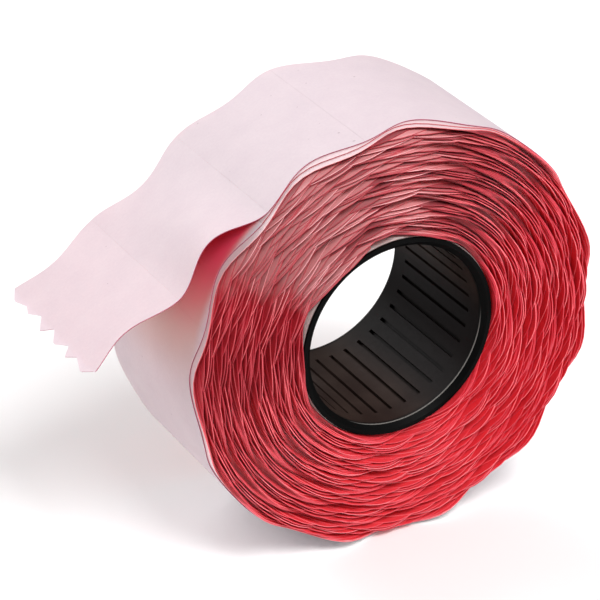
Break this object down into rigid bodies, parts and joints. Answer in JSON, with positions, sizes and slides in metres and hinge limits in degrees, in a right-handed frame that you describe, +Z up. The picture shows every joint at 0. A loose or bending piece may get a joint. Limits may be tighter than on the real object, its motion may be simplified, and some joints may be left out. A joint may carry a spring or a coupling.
{
  "type": "price gun label roll",
  "caption": "Roll of wavy-edged self-adhesive price labels on a red liner, wound on a black plastic core, with a free leader that folds and outer labels that peel.",
  "frame": {"origin": "middle of the core's bore, on the roll's axis", "axes": "+Y along the roll's axis, +Z up, and the leader leaves the roll at the upper side and hangs towards -X"},
  "size_m": [0.0769, 0.026, 0.0619],
  "materials": {
    "core_plastic": "satin black moulded",
    "label_paper": "matte, faintly pink",
    "liner_paper": "smooth red glassine",
    "tape_paper": "matte white"
  },
  "bodies": {
    "roll": {"core": "core_plastic", "starter_tape": "tape_paper", "wound_liner": "liner_paper", "wound_labels": "label_paper", "outer_turn_liner": "liner_paper"},
    "leader_root": {"leader_liner_root": "liner_paper"},
    "leader_tip": {"leader_liner_tip": "liner_paper"},
    "leader_root_label": {"leader_label_root": "label_paper"},
    "leader_tip_label": {"leader_label_tip": "label_paper"},
    "label_01": {"price_label_01": "label_paper"},
    "label_02": {"price_label_02": "label_paper"},
    "label_03": {"price_label_03": "label_paper"},
    "label_04": {"price_label_04": "label_paper"},
    "label_05": {"price_label_05": "label_paper"},
    "label_06": {"price_label_06": "label_paper"},
    "label_07": {"price_label_07": "label_paper"},
    "label_08": {"price_label_08": "label_paper"},
    "label_09": {"price_label_09": "label_paper"},
    "label_10": {"price_label_10": "label_paper"},
    "label_11": {"price_label_11": "label_paper"},
    "label_12": {"price_label_12": "label_paper"}
  },
  "joints": [
    {"name": "leader_root_fold", "type": "hinge", "parent": "roll", "child": "leader_root", "pos_m": [-0.01985, 0, 0.02366], "axis": [0, 1, 0], "range_deg": [-4, 55], "stiffness_Nm_per_rad": 0.0008},
    {"name": "leader_tip_fold", "type": "hinge", "parent": "leader_root", "child": "leader_tip", "pos_m": [-0.0328, 0, 0.01425], "axis": [0, 1, 0], "range_deg": [-50, 45], "stiffness_Nm_per_rad": 0.0008},
    {"name": "leader_root_label_peel", "type": "hinge", "parent": "leader_root", "child": "leader_root_label", "pos_m": [-0.01995, 0, 0.02362], "axis": [0, 1, 0], "range_deg": [0, 90]},
    {"name": "leader_tip_label_peel", "type": "hinge", "parent": "leader_tip", "child": "leader_tip_label", "pos_m": [-0.0329, 0, 0.01423], "axis": [0, 1, 0], "range_deg": [0, 90]},
    {"name": "label_01_peel", "type": "hinge", "parent": "roll", "child": "label_01", "pos_m": [-0.00569, 0, 0.03039], "axis": [0, 1, 0], "range_deg": [0, 90]},
    {"name": "label_02_peel", "type": "hinge", "parent": "roll", "child": "label_02", "pos_m": [0.01004, 0, 0.02923], "axis": [0, 1, 0], "range_deg": [0, 90]},
    {"name": "label_03_peel", "type": "hinge", "parent": "roll", "child": "label_03", "pos_m": [0.02315, 0, 0.02045], "axis": [0, 1, 0], "range_deg": [0, 90]},
    {"name": "label_04_peel", "type": "hinge", "parent": "roll", "child": "label_04", "pos_m": [0.03022, 0, 0.00636], "axis": [0, 1, 0], "range_deg": [0, 90]},
    {"name": "label_05_peel", "type": "hinge", "parent": "roll", "child": "label_05", "pos_m": [0.02941, 0, -0.00938], "axis": [0, 1, 0], "range_deg": [0, 90]},
    {"name": "label_06_peel", "type": "hinge", "parent": "roll", "child": "label_06", "pos_m": [0.02093, 0, -0.02267], "axis": [0, 1, 0], "range_deg": [0, 90]},
    {"name": "label_07_peel", "type": "hinge", "parent": "roll", "child": "label_07", "pos_m": [0.00701, 0, -0.03003], "axis": [0, 1, 0], "range_deg": [0, 90]},
    {"name": "label_08_peel", "type": "hinge", "parent": "roll", "child": "label_08", "pos_m": [-0.00872, 0, -0.02957], "axis": [0, 1, 0], "range_deg": [0, 90]},
    {"name": "label_09_peel", "type": "hinge", "parent": "roll", "child": "label_09", "pos_m": [-0.02217, 0, -0.0214], "axis": [0, 1, 0], "range_deg": [0, 90]},
    {"name": "label_10_peel", "type": "hinge", "parent": "roll", "child": "label_10", "pos_m": [-0.02984, 0, -0.00767], "axis": [0, 1, 0], "range_deg": [0, 90]},
    {"name": "label_11_peel", "type": "hinge", "parent": "roll", "child": "label_11", "pos_m": [-0.02972, 0, 0.00806], "axis": [0, 1, 0], "range_deg": [0, 65]},
    {"name": "label_12_peel", "type": "hinge", "parent": "roll", "child": "label_12", "pos_m": [-0.02186, 0, 0.02167], "axis": [0, 1, 0], "range_deg": [0, 13]}
  ]
}
